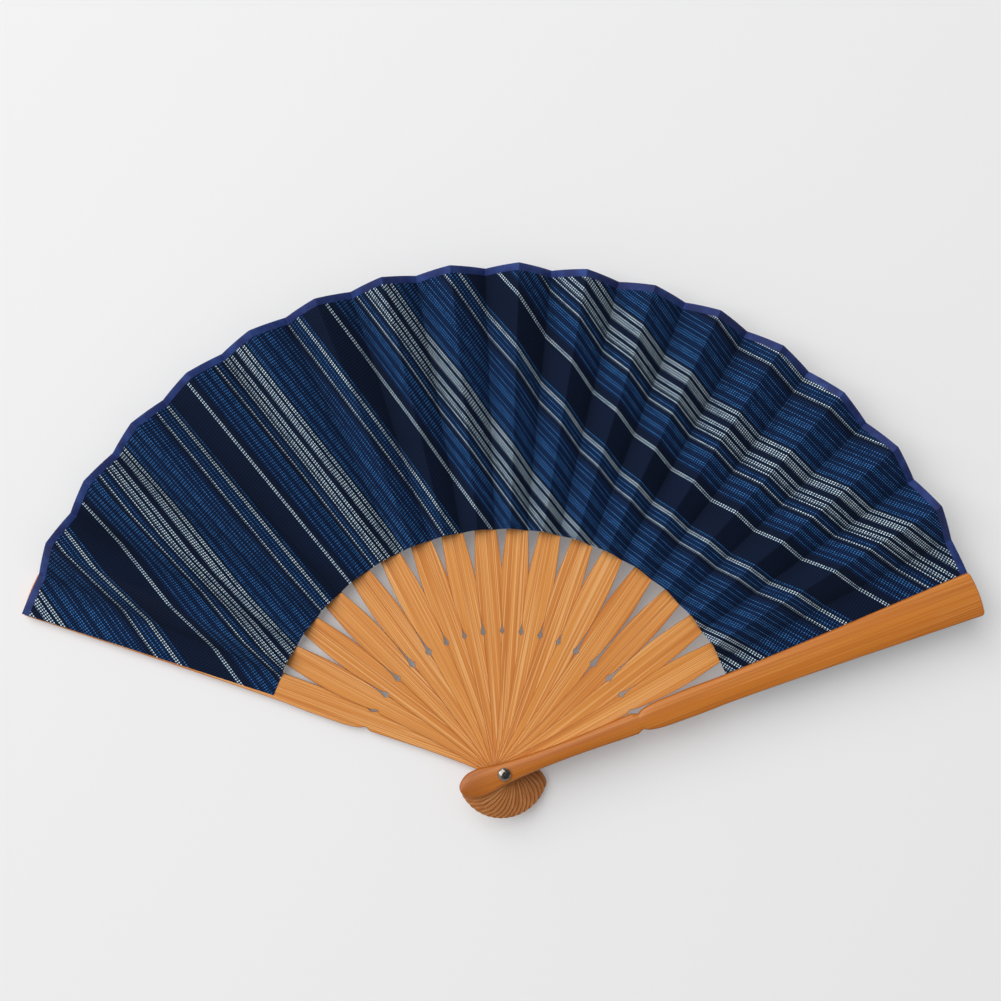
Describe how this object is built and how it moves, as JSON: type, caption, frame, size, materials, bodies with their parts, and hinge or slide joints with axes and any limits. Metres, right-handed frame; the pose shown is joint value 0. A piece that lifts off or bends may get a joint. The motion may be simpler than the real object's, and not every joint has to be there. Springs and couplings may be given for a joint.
{
  "type": "folding fan",
  "caption": "Open folding fan: slim bamboo guards and ribs turn on one rivet and carry a pleated striped cotton leaf that folds flat as the fan closes.",
  "frame": {"origin": "middle of the rivet's rear face, on the axis that all the sticks turn about", "axes": "+Z along the rivet towards the front guard, +X along the open fan's spread with the front guard at +X, +Y up the middle of the leaf"},
  "size_m": [0.3904, 0.2234, 0.028],
  "materials": {
    "guard_bamboo": "stained bamboo, satin, with fine lengthwise grain",
    "rib_bamboo": "stained bamboo, satin, with fine lengthwise grain",
    "leaf_cloth": "indigo cotton woven in blue and white stripes",
    "rivet_metal": "dark plated metal, polished"
  },
  "bodies": {
    "rear": {"rear_guard": "guard_bamboo", "rivet_pin": "rivet_metal", "rivet_cap": "rivet_metal", "leaf_end_rear": "leaf_cloth"},
    "front": {"front_guard": "guard_bamboo", "leaf_end_front": "leaf_cloth"},
    "rib_01": {"rib_01": "rib_bamboo"},
    "rib_02": {"rib_02": "rib_bamboo"},
    "rib_03": {"rib_03": "rib_bamboo"},
    "rib_04": {"rib_04": "rib_bamboo"},
    "rib_05": {"rib_05": "rib_bamboo"},
    "rib_06": {"rib_06": "rib_bamboo"},
    "rib_07": {"rib_07": "rib_bamboo"},
    "rib_08": {"rib_08": "rib_bamboo"},
    "rib_09": {"rib_09": "rib_bamboo"},
    "rib_10": {"rib_10": "rib_bamboo"},
    "rib_11": {"rib_11": "rib_bamboo"},
    "rib_12": {"rib_12": "rib_bamboo"},
    "rib_13": {"rib_13": "rib_bamboo"},
    "rib_14": {"rib_14": "rib_bamboo"},
    "rib_15": {"rib_15": "rib_bamboo"},
    "rib_16": {"rib_16": "rib_bamboo"},
    "leaf_rising_00": {"leaf_rising_00": "leaf_cloth"},
    "leaf_falling_01": {"leaf_falling_01": "leaf_cloth"},
    "leaf_rising_01": {"leaf_rising_01": "leaf_cloth"},
    "leaf_falling_02": {"leaf_falling_02": "leaf_cloth"},
    "leaf_rising_02": {"leaf_rising_02": "leaf_cloth"},
    "leaf_falling_03": {"leaf_falling_03": "leaf_cloth"},
    "leaf_rising_03": {"leaf_rising_03": "leaf_cloth"},
    "leaf_falling_04": {"leaf_falling_04": "leaf_cloth"},
    "leaf_rising_04": {"leaf_rising_04": "leaf_cloth"},
    "leaf_falling_05": {"leaf_falling_05": "leaf_cloth"},
    "leaf_rising_05": {"leaf_rising_05": "leaf_cloth"},
    "leaf_falling_06": {"leaf_falling_06": "leaf_cloth"},
    "leaf_rising_06": {"leaf_rising_06": "leaf_cloth"},
    "leaf_falling_07": {"leaf_falling_07": "leaf_cloth"},
    "leaf_rising_07": {"leaf_rising_07": "leaf_cloth"},
    "leaf_falling_08": {"leaf_falling_08": "leaf_cloth"},
    "leaf_rising_08": {"leaf_rising_08": "leaf_cloth"},
    "leaf_falling_09": {"leaf_falling_09": "leaf_cloth"},
    "leaf_rising_09": {"leaf_rising_09": "leaf_cloth"},
    "leaf_falling_10": {"leaf_falling_10": "leaf_cloth"},
    "leaf_rising_10": {"leaf_rising_10": "leaf_cloth"},
    "leaf_falling_11": {"leaf_falling_11": "leaf_cloth"},
    "leaf_rising_11": {"leaf_rising_11": "leaf_cloth"},
    "leaf_falling_12": {"leaf_falling_12": "leaf_cloth"},
    "leaf_rising_12": {"leaf_rising_12": "leaf_cloth"},
    "leaf_falling_13": {"leaf_falling_13": "leaf_cloth"},
    "leaf_rising_13": {"leaf_rising_13": "leaf_cloth"},
    "leaf_falling_14": {"leaf_falling_14": "leaf_cloth"},
    "leaf_rising_14": {"leaf_rising_14": "leaf_cloth"},
    "leaf_falling_15": {"leaf_falling_15": "leaf_cloth"},
    "leaf_rising_15": {"leaf_rising_15": "leaf_cloth"},
    "leaf_falling_16": {"leaf_falling_16": "leaf_cloth"},
    "leaf_rising_16": {"leaf_rising_16": "leaf_cloth"}
  },
  "joints": [
    {"name": "fan_open", "type": "hinge", "parent": "rear", "child": "front", "pos_m": [0, 0, 0], "axis": [0, 0, 1], "range_deg": [0, 138.9]},
    {"name": "rib_swing_01", "type": "hinge", "parent": "rear", "child": "rib_01", "pos_m": [0, 0, 0.0041], "axis": [0, 0, 1], "range_deg": [0, 7.96]},
    {"name": "rib_swing_02", "type": "hinge", "parent": "rear", "child": "rib_02", "pos_m": [0, 0, 0.00491], "axis": [0, 0, 1], "range_deg": [0, 16.31]},
    {"name": "rib_swing_03", "type": "hinge", "parent": "rear", "child": "rib_03", "pos_m": [0, 0, 0.00572], "axis": [0, 0, 1], "range_deg": [0, 24.61]},
    {"name": "rib_swing_04", "type": "hinge", "parent": "rear", "child": "rib_04", "pos_m": [0, 0, 0.00653], "axis": [0, 0, 1], "range_deg": [0, 33.11]},
    {"name": "rib_swing_05", "type": "hinge", "parent": "rear", "child": "rib_05", "pos_m": [0, 0, 0.00734], "axis": [0, 0, 1], "range_deg": [0, 41.51]},
    {"name": "rib_swing_06", "type": "hinge", "parent": "rear", "child": "rib_06", "pos_m": [0, 0, 0.00815], "axis": [0, 0, 1], "range_deg": [0, 49.51]},
    {"name": "rib_swing_07", "type": "hinge", "parent": "rear", "child": "rib_07", "pos_m": [0, 0, 0.00896], "axis": [0, 0, 1], "range_deg": [0, 57.21]},
    {"name": "rib_swing_08", "type": "hinge", "parent": "rear", "child": "rib_08", "pos_m": [0, 0, 0.00977], "axis": [0, 0, 1], "range_deg": [0, 65.21]},
    {"name": "rib_swing_09", "type": "hinge", "parent": "rear", "child": "rib_09", "pos_m": [0, 0, 0.01058], "axis": [0, 0, 1], "range_deg": [0, 72.81]},
    {"name": "rib_swing_10", "type": "hinge", "parent": "rear", "child": "rib_10", "pos_m": [0, 0, 0.01139], "axis": [0, 0, 1], "range_deg": [0, 80.61]},
    {"name": "rib_swing_11", "type": "hinge", "parent": "rear", "child": "rib_11", "pos_m": [0, 0, 0.0122], "axis": [0, 0, 1], "range_deg": [0, 88.56]},
    {"name": "rib_swing_12", "type": "hinge", "parent": "rear", "child": "rib_12", "pos_m": [0, 0, 0.01301], "axis": [0, 0, 1], "range_deg": [0, 96.36]},
    {"name": "rib_swing_13", "type": "hinge", "parent": "rear", "child": "rib_13", "pos_m": [0, 0, 0.01382], "axis": [0, 0, 1], "range_deg": [0, 104.76]},
    {"name": "rib_swing_14", "type": "hinge", "parent": "rear", "child": "rib_14", "pos_m": [0, 0, 0.01463], "axis": [0, 0, 1], "range_deg": [0, 113.56]},
    {"name": "rib_swing_15", "type": "hinge", "parent": "rear", "child": "rib_15", "pos_m": [0, 0, 0.01544], "axis": [0, 0, 1], "range_deg": [0, 121.96]},
    {"name": "rib_swing_16", "type": "hinge", "parent": "rear", "child": "rib_16", "pos_m": [0, 0, 0.01625], "axis": [0, 0, 1], "range_deg": [0, 130.01]},
    {"name": "rising_fold_00", "type": "hinge", "parent": "rear", "child": "leaf_rising_00", "pos_m": [-0.00002, -0.00005, 0.00412], "axis": [0.9212, -0.3891, 0], "range_deg": [0, 137.17], "deforming": ["leaf_rising_00"]},
    {"name": "falling_fold_01", "type": "hinge", "parent": "rib_01", "child": "leaf_falling_01", "pos_m": [0, 0, 0.00481], "axis": [0.8599, -0.5105, 0], "range_deg": [0, 38.35], "deforming": ["leaf_falling_01"]},
    {"name": "rising_fold_01", "type": "hinge", "parent": "rib_01", "child": "leaf_rising_01", "pos_m": [-0.00002, -0.00004, 0.00493], "axis": [0.8599, -0.5105, 0], "range_deg": [0, 142.28], "deforming": ["leaf_rising_01"]},
    {"name": "falling_fold_02", "type": "hinge", "parent": "rib_02", "child": "leaf_falling_02", "pos_m": [0, 0, 0.00562], "axis": [0.7766, -0.63, 0], "range_deg": [0, 33.54], "deforming": ["leaf_falling_02"]},
    {"name": "rising_fold_02", "type": "hinge", "parent": "rib_02", "child": "leaf_rising_02", "pos_m": [-0.00003, -0.00003, 0.00574], "axis": [0.7766, -0.63, 0], "range_deg": [0, 141.79], "deforming": ["leaf_rising_02"]},
    {"name": "falling_fold_03", "type": "hinge", "parent": "rib_03", "child": "leaf_falling_03", "pos_m": [0, 0, 0.00643], "axis": [0.6775, -0.7355, 0], "range_deg": [0, 34], "deforming": ["leaf_falling_03"]},
    {"name": "rising_fold_03", "type": "hinge", "parent": "rib_03", "child": "leaf_rising_03", "pos_m": [-0.00003, -0.00003, 0.00655], "axis": [0.6775, -0.7355, 0], "range_deg": [0, 143.78], "deforming": ["leaf_rising_03"]},
    {"name": "falling_fold_04", "type": "hinge", "parent": "rib_04", "child": "leaf_falling_04", "pos_m": [0, 0, 0.00724], "axis": [0.5614, -0.8276, 0], "range_deg": [0, 32.11], "deforming": ["leaf_falling_04"]},
    {"name": "rising_fold_04", "type": "hinge", "parent": "rib_04", "child": "leaf_rising_04", "pos_m": [-0.00003, -0.00002, 0.00736], "axis": [0.5614, -0.8276, 0], "range_deg": [0, 142.77], "deforming": ["leaf_rising_04"]},
    {"name": "falling_fold_05", "type": "hinge", "parent": "rib_05", "child": "leaf_falling_05", "pos_m": [0, 0, 0.00805], "axis": [0.4344, -0.9007, 0], "range_deg": [0, 33.07], "deforming": ["leaf_falling_05"]},
    {"name": "rising_fold_05", "type": "hinge", "parent": "rib_05", "child": "leaf_rising_05", "pos_m": [-0.00004, -0.00002, 0.00817], "axis": [0.4344, -0.9007, 0], "range_deg": [0, 138.97], "deforming": ["leaf_rising_05"]},
    {"name": "falling_fold_06", "type": "hinge", "parent": "rib_06", "child": "leaf_falling_06", "pos_m": [0, 0, 0.00886], "axis": [0.3049, -0.9524, 0], "range_deg": [0, 36.67], "deforming": ["leaf_falling_06"]},
    {"name": "rising_fold_06", "type": "hinge", "parent": "rib_06", "child": "leaf_rising_06", "pos_m": [-0.00005, -0.00002, 0.00898], "axis": [0.3049, -0.9524, 0], "range_deg": [0, 136.29], "deforming": ["leaf_rising_06"]},
    {"name": "falling_fold_07", "type": "hinge", "parent": "rib_07", "child": "leaf_falling_07", "pos_m": [0, 0, 0.00966], "axis": [0.1745, -0.9847, 0], "range_deg": [0, 39.17], "deforming": ["leaf_falling_07"]},
    {"name": "rising_fold_07", "type": "hinge", "parent": "rib_07", "child": "leaf_rising_07", "pos_m": [-0.00005, -0.00001, 0.00979], "axis": [0.1745, -0.9847, 0], "range_deg": [0, 138.97], "deforming": ["leaf_rising_07"]},
    {"name": "falling_fold_08", "type": "hinge", "parent": "rib_08", "child": "leaf_falling_08", "pos_m": [0, 0, 0.01047], "axis": [0.0358, -0.9994, 0], "range_deg": [0, 36.67], "deforming": ["leaf_falling_08"]},
    {"name": "rising_fold_08", "type": "hinge", "parent": "rib_08", "child": "leaf_rising_08", "pos_m": [-0.00005, 0, 0.0106], "axis": [0.0358, -0.9994, 0], "range_deg": [0, 135.42], "deforming": ["leaf_rising_08"]},
    {"name": "falling_fold_09", "type": "hinge", "parent": "rib_09", "child": "leaf_falling_09", "pos_m": [0, 0, 0.01128], "axis": [-0.0967, -0.9953, 0], "range_deg": [0, 39.98], "deforming": ["leaf_falling_09"]},
    {"name": "rising_fold_09", "type": "hinge", "parent": "rib_09", "child": "leaf_rising_09", "pos_m": [-0.00005, 0, 0.01141], "axis": [-0.0967, -0.9953, 0], "range_deg": [0, 137.17], "deforming": ["leaf_rising_09"]},
    {"name": "falling_fold_10", "type": "hinge", "parent": "rib_10", "child": "leaf_falling_10", "pos_m": [0, 0, 0.01209], "axis": [-0.2309, -0.973, 0], "range_deg": [0, 38.35], "deforming": ["leaf_falling_10"]},
    {"name": "rising_fold_10", "type": "hinge", "parent": "rib_10", "child": "leaf_rising_10", "pos_m": [-0.00005, 0.00001, 0.01222], "axis": [-0.2309, -0.973, 0], "range_deg": [0, 138.51], "deforming": ["leaf_rising_10"]},
    {"name": "falling_fold_11", "type": "hinge", "parent": "rib_11", "child": "leaf_falling_11", "pos_m": [0, 0, 0.0129], "axis": [-0.3633, -0.9317, 0], "range_deg": [0, 37.1], "deforming": ["leaf_falling_11"]},
    {"name": "rising_fold_11", "type": "hinge", "parent": "rib_11", "child": "leaf_rising_11", "pos_m": [-0.00005, 0.00002, 0.01303], "axis": [-0.3633, -0.9317, 0], "range_deg": [0, 137.17], "deforming": ["leaf_rising_11"]},
    {"name": "falling_fold_12", "type": "hinge", "parent": "rib_12", "child": "leaf_falling_12", "pos_m": [0, 0, 0.01371], "axis": [-0.4863, -0.8738, 0], "range_deg": [0, 38.35], "deforming": ["leaf_falling_12"]},
    {"name": "rising_fold_12", "type": "hinge", "parent": "rib_12", "child": "leaf_rising_12", "pos_m": [-0.00004, 0.00002, 0.01384], "axis": [-0.4863, -0.8738, 0], "range_deg": [0, 142.77], "deforming": ["leaf_rising_12"]},
    {"name": "falling_fold_13", "type": "hinge", "parent": "rib_13", "child": "leaf_falling_13", "pos_m": [0, 0, 0.01452], "axis": [-0.6088, -0.7934, 0], "range_deg": [0, 33.07], "deforming": ["leaf_falling_13"]},
    {"name": "rising_fold_13", "type": "hinge", "parent": "rib_13", "child": "leaf_rising_13", "pos_m": [-0.00003, 0.00002, 0.01465], "axis": [-0.6088, -0.7934, 0], "range_deg": [0, 146.95], "deforming": ["leaf_rising_13"]},
    {"name": "falling_fold_14", "type": "hinge", "parent": "rib_14", "child": "leaf_falling_14", "pos_m": [0, 0, 0.01533], "axis": [-0.723, -0.6909, 0], "range_deg": [0, 29.08], "deforming": ["leaf_falling_14"]},
    {"name": "rising_fold_14", "type": "hinge", "parent": "rib_14", "child": "leaf_rising_14", "pos_m": [-0.00003, 0.00003, 0.01546], "axis": [-0.723, -0.6909, 0], "range_deg": [0, 142.77], "deforming": ["leaf_rising_14"]},
    {"name": "falling_fold_15", "type": "hinge", "parent": "rib_15", "child": "leaf_falling_15", "pos_m": [0, 0, 0.01614], "axis": [-0.8161, -0.5779, 0], "range_deg": [0, 33.07], "deforming": ["leaf_falling_15"]},
    {"name": "rising_fold_15", "type": "hinge", "parent": "rib_15", "child": "leaf_rising_15", "pos_m": [-0.00003, 0.00004, 0.01627], "axis": [-0.8161, -0.5779, 0], "range_deg": [0, 139.43], "deforming": ["leaf_rising_15"]},
    {"name": "falling_fold_16", "type": "hinge", "parent": "rib_16", "child": "leaf_falling_16", "pos_m": [0, 0, 0.01696], "axis": [-0.889, -0.4579, 0], "range_deg": [0, 36.24], "deforming": ["leaf_falling_16"]},
    {"name": "rising_fold_16", "type": "hinge", "parent": "rib_16", "child": "leaf_rising_16", "pos_m": [0, 0, 0.01708], "axis": [-0.889, -0.4579, 0], "range_deg": [0, 178.45], "deforming": ["leaf_rising_16"]}
  ],
  "couplings": [
    {"joint": "rib_swing_01", "follows": "fan_open", "ratio": 0.057235},
    {"joint": "rib_swing_02", "follows": "fan_open", "ratio": 0.11735},
    {"joint": "rib_swing_03", "follows": "fan_open", "ratio": 0.17711},
    {"joint": "rib_swing_04", "follows": "fan_open", "ratio": 0.2383},
    {"joint": "rib_swing_05", "follows": "fan_open", "ratio": 0.29878},
    {"joint": "rib_swing_06", "follows": "fan_open", "ratio": 0.35637},
    {"joint": "rib_swing_07", "follows": "fan_open", "ratio": 0.41181},
    {"joint": "rib_swing_08", "follows": "fan_open", "ratio": 0.4694},
    {"joint": "rib_swing_09", "follows": "fan_open", "ratio": 0.52412},
    {"joint": "rib_swing_10", "follows": "fan_open", "ratio": 0.58027},
    {"joint": "rib_swing_11", "follows": "fan_open", "ratio": 0.63751},
    {"joint": "rib_swing_12", "follows": "fan_open", "ratio": 0.69366},
    {"joint": "rib_swing_13", "follows": "fan_open", "ratio": 0.75414},
    {"joint": "rib_swing_14", "follows": "fan_open", "ratio": 0.81749},
    {"joint": "rib_swing_15", "follows": "fan_open", "ratio": 0.87797},
    {"joint": "rib_swing_16", "follows": "fan_open", "ratio": 0.93593},
    {"joint": "rising_fold_00", "follows": "fan_open", "ratio": 0.98745},
    {"joint": "falling_fold_01", "follows": "fan_open", "ratio": 0.27606},
    {"joint": "rising_fold_01", "follows": "fan_open", "ratio": 1.0243},
    {"joint": "falling_fold_02", "follows": "fan_open", "ratio": 0.24138},
    {"joint": "rising_fold_02", "follows": "fan_open", "ratio": 1.0207},
    {"joint": "falling_fold_03", "follows": "fan_open", "ratio": 0.24471},
    {"joint": "rising_fold_03", "follows": "fan_open", "ratio": 1.035},
    {"joint": "falling_fold_04", "follows": "fan_open", "ratio": 0.23114},
    {"joint": "rising_fold_04", "follows": "fan_open", "ratio": 1.0278},
    {"joint": "falling_fold_05", "follows": "fan_open", "ratio": 0.23801},
    {"joint": "rising_fold_05", "follows": "fan_open", "ratio": 1.0004},
    {"joint": "falling_fold_06", "follows": "fan_open", "ratio": 0.26392},
    {"joint": "rising_fold_06", "follows": "fan_open", "ratio": 0.98113},
    {"joint": "falling_fold_07", "follows": "fan_open", "ratio": 0.28196},
    {"joint": "rising_fold_07", "follows": "fan_open", "ratio": 1.0004},
    {"joint": "falling_fold_08", "follows": "fan_open", "ratio": 0.26392},
    {"joint": "rising_fold_08", "follows": "fan_open", "ratio": 0.97491},
    {"joint": "falling_fold_09", "follows": "fan_open", "ratio": 0.28775},
    {"joint": "rising_fold_09", "follows": "fan_open", "ratio": 0.98745},
    {"joint": "falling_fold_10", "follows": "fan_open", "ratio": 0.27606},
    {"joint": "rising_fold_10", "follows": "fan_open", "ratio": 0.99712},
    {"joint": "falling_fold_11", "follows": "fan_open", "ratio": 0.267},
    {"joint": "rising_fold_11", "follows": "fan_open", "ratio": 0.98745},
    {"joint": "falling_fold_12", "follows": "fan_open", "ratio": 0.27606},
    {"joint": "rising_fold_12", "follows": "fan_open", "ratio": 1.0278},
    {"joint": "falling_fold_13", "follows": "fan_open", "ratio": 0.23801},
    {"joint": "rising_fold_13", "follows": "fan_open", "ratio": 1.0579},
    {"joint": "falling_fold_14", "follows": "fan_open", "ratio": 0.20932},
    {"joint": "rising_fold_14", "follows": "fan_open", "ratio": 1.0278},
    {"joint": "falling_fold_15", "follows": "fan_open", "ratio": 0.23801},
    {"joint": "rising_fold_15", "follows": "fan_open", "ratio": 1.0037},
    {"joint": "falling_fold_16", "follows": "fan_open", "ratio": 0.2608},
    {"joint": "rising_fold_16", "follows": "fan_open", "ratio": 1.2847}
  ]
}
